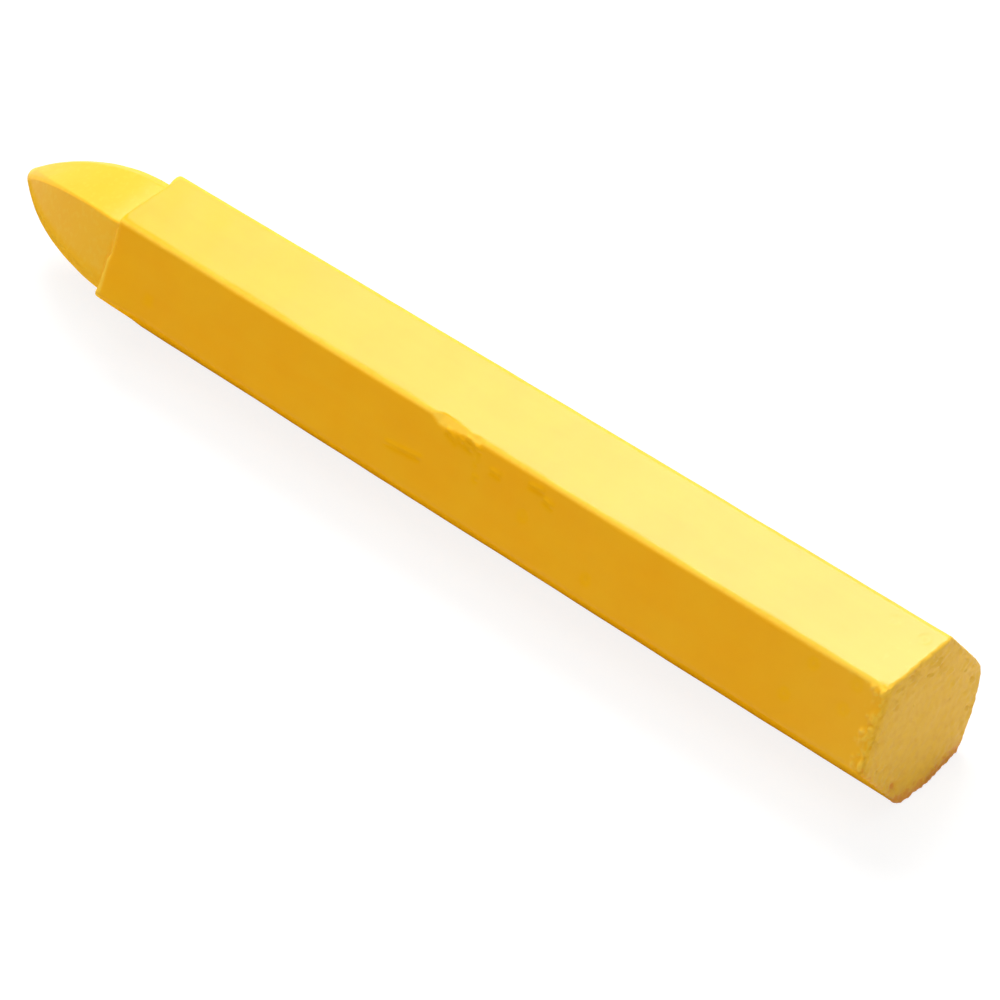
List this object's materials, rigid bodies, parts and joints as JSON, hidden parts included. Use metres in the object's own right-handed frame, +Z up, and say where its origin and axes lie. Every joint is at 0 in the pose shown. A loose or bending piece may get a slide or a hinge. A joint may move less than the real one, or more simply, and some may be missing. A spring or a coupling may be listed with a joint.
{
  "type": "tire marking crayon",
  "caption": "Hexagonal cast wax marking crayon with a stepped six-sided pointed tip and a flat butt, for writing on rubber.",
  "frame": {"origin": "under the middle of the crayon's length, on the surface that its lower flat lies on", "axes": "+X along the crayon from the marking tip to the butt, +Z up out of the upper flat"},
  "size_m": [0.1192, 0.016, 0.014],
  "materials": {
    "yellow_wax": "cast pigmented wax, satin on the flats, dusty and crumbly at the butt"
  },
  "bodies": {
    "root": {"crayon": "yellow_wax"}
  },
  "joints": []
}
